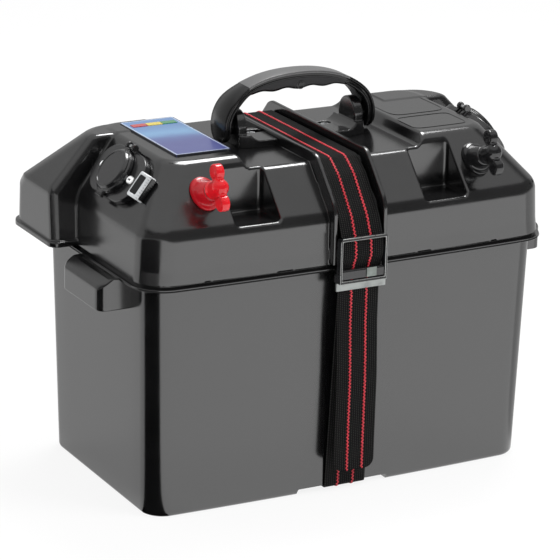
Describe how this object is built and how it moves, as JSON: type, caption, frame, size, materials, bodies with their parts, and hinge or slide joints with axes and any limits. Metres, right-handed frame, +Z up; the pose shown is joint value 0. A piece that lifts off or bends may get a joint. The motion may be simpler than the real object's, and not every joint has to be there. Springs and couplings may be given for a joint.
{
  "type": "portable battery box",
  "caption": "Portable battery box: deep tub with hand grips, lift-off lid with folding handle, wing-nut terminals, capped sockets, charge meter and a webbing hold-down strap.",
  "frame": {"origin": "on the ground at the centre of the feet, which is within 3 mm of the centre of the whole outline", "axes": "+Z up, +X along the long front face to the right, +Y to the back; the buckle and the terminals are on the -Y side"},
  "size_m": [0.419, 0.2429, 0.333],
  "materials": {
    "box_plastic": "moulded, semi-gloss",
    "handle_plastic": "moulded, semi-gloss",
    "grip_plastic": "fine grain",
    "webbing": "woven webbing with two stitched stripes",
    "buckle_black": "black, worn bright at the edges",
    "bright_steel": "bright zinc",
    "brass": "turned",
    "red_plastic": "gloss",
    "knob_plastic": "gloss",
    "socket_plastic": "semi-gloss",
    "rivet_metal": "bright",
    "clear_plastic": "bright, clear-coated",
    "meter_face": "printed in plain shaded blue",
    "lens_red": "tinted",
    "lens_amber": "tinted",
    "lens_green": "tinted",
    "circuit_board": "board"
  },
  "bodies": {
    "base": {"base_tub": "box_plastic", "strap_lower": "webbing"},
    "lid": {"lid_shell": "box_plastic", "strap_upper": "webbing", "strap_tail": "webbing", "buckle_frame": "buckle_black", "buckle_lip": "bright_steel", "cam_pin": "bright_steel", "left_handle_block": "box_plastic", "right_handle_block": "box_plastic", "block_screws": "bright_steel", "red_terminal_base": "red_plastic", "red_stud": "brass", "red_stud_nut": "brass", "black_terminal_base": "knob_plastic", "black_stud": "brass", "black_stud_nut": "brass", "left_socket_plate": "socket_plastic", "left_socket_tube": "bright_steel", "left_socket_nut": "socket_plastic", "left_socket_contact": "brass", "left_hinge_pin": "bright_steel", "left_rivets": "rivet_metal", "right_socket_plate": "socket_plastic", "right_socket_tube": "bright_steel", "right_socket_nut": "socket_plastic", "right_socket_contact": "brass", "right_hinge_pin": "bright_steel", "right_rivets": "rivet_metal", "breaker_housing": "clear_plastic", "meter_panel": "meter_face", "red_lens": "lens_red", "amber_lens": "lens_amber", "green_lens": "lens_green", "meter_board": "circuit_board", "board_screws": "bright_steel"},
    "handle": {"handle_frame": "handle_plastic", "handle_grip": "grip_plastic", "handle_pins": "bright_steel"},
    "cam": {"cam": "buckle_black", "cam_plate": "bright_steel"},
    "left_cap": {"left_socket_cap": "socket_plastic"},
    "right_cap": {"right_socket_cap": "socket_plastic"},
    "reset": {"reset_bar": "knob_plastic"},
    "red_washer": {"red_washer": "bright_steel"},
    "red_knob": {"red_wing_knob": "red_plastic"},
    "black_washer": {"black_washer": "bright_steel"},
    "black_knob": {"black_wing_knob": "knob_plastic"}
  },
  "joints": [
    {"name": "lid_lift", "type": "slide", "parent": "base", "child": "lid", "axis": [0, 0, 1], "range_m": [0, 0.08]},
    {"name": "handle_fold", "type": "hinge", "parent": "lid", "child": "handle", "pos_m": [0, 0, 0.291], "axis": [1, 0, 0], "range_deg": [-75, 75]},
    {"name": "cam_turn", "type": "hinge", "parent": "lid", "child": "cam", "pos_m": [0, -0.1203, 0.1955], "axis": [-1, 0, 0], "range_deg": [0, 75], "stiffness_Nm_per_rad": 0.01},
    {"name": "left_cap_turn", "type": "hinge", "parent": "lid", "child": "left_cap", "pos_m": [-0.15484, -0.016, 0.28814], "axis": [0, 1, 0], "range_deg": [0, 150]},
    {"name": "right_cap_turn", "type": "hinge", "parent": "lid", "child": "right_cap", "pos_m": [0.15484, -0.016, 0.28814], "axis": [0, -1, 0], "range_deg": [0, 150]},
    {"name": "reset_push", "type": "slide", "parent": "lid", "child": "reset", "axis": [0, 1, 0], "range_m": [0, 0.002], "stiffness_N_per_m": 200},
    {"name": "red_washer_rise", "type": "slide", "parent": "lid", "child": "red_washer", "axis": [0, -0.9063, 0.4226], "range_m": [0, 0.00375]},
    {"name": "red_knob_turn", "type": "hinge", "parent": "red_washer", "child": "red_knob", "pos_m": [-0.125, -0.08464, 0.264], "axis": [0, -0.9063, 0.4226], "range_deg": [0, 1090]},
    {"name": "black_washer_rise", "type": "slide", "parent": "lid", "child": "black_washer", "axis": [0, -0.9063, 0.4226], "range_m": [0, 0.00375]},
    {"name": "black_knob_turn", "type": "hinge", "parent": "black_washer", "child": "black_knob", "pos_m": [0.125, -0.08464, 0.264], "axis": [0, -0.9063, 0.4226], "range_deg": [0, 1090]}
  ],
  "couplings": [
    {"joint": "red_knob_turn", "follows": "red_washer_rise", "rad_per_m": 5026.5},
    {"joint": "black_knob_turn", "follows": "black_washer_rise", "rad_per_m": 5026.5}
  ]
}
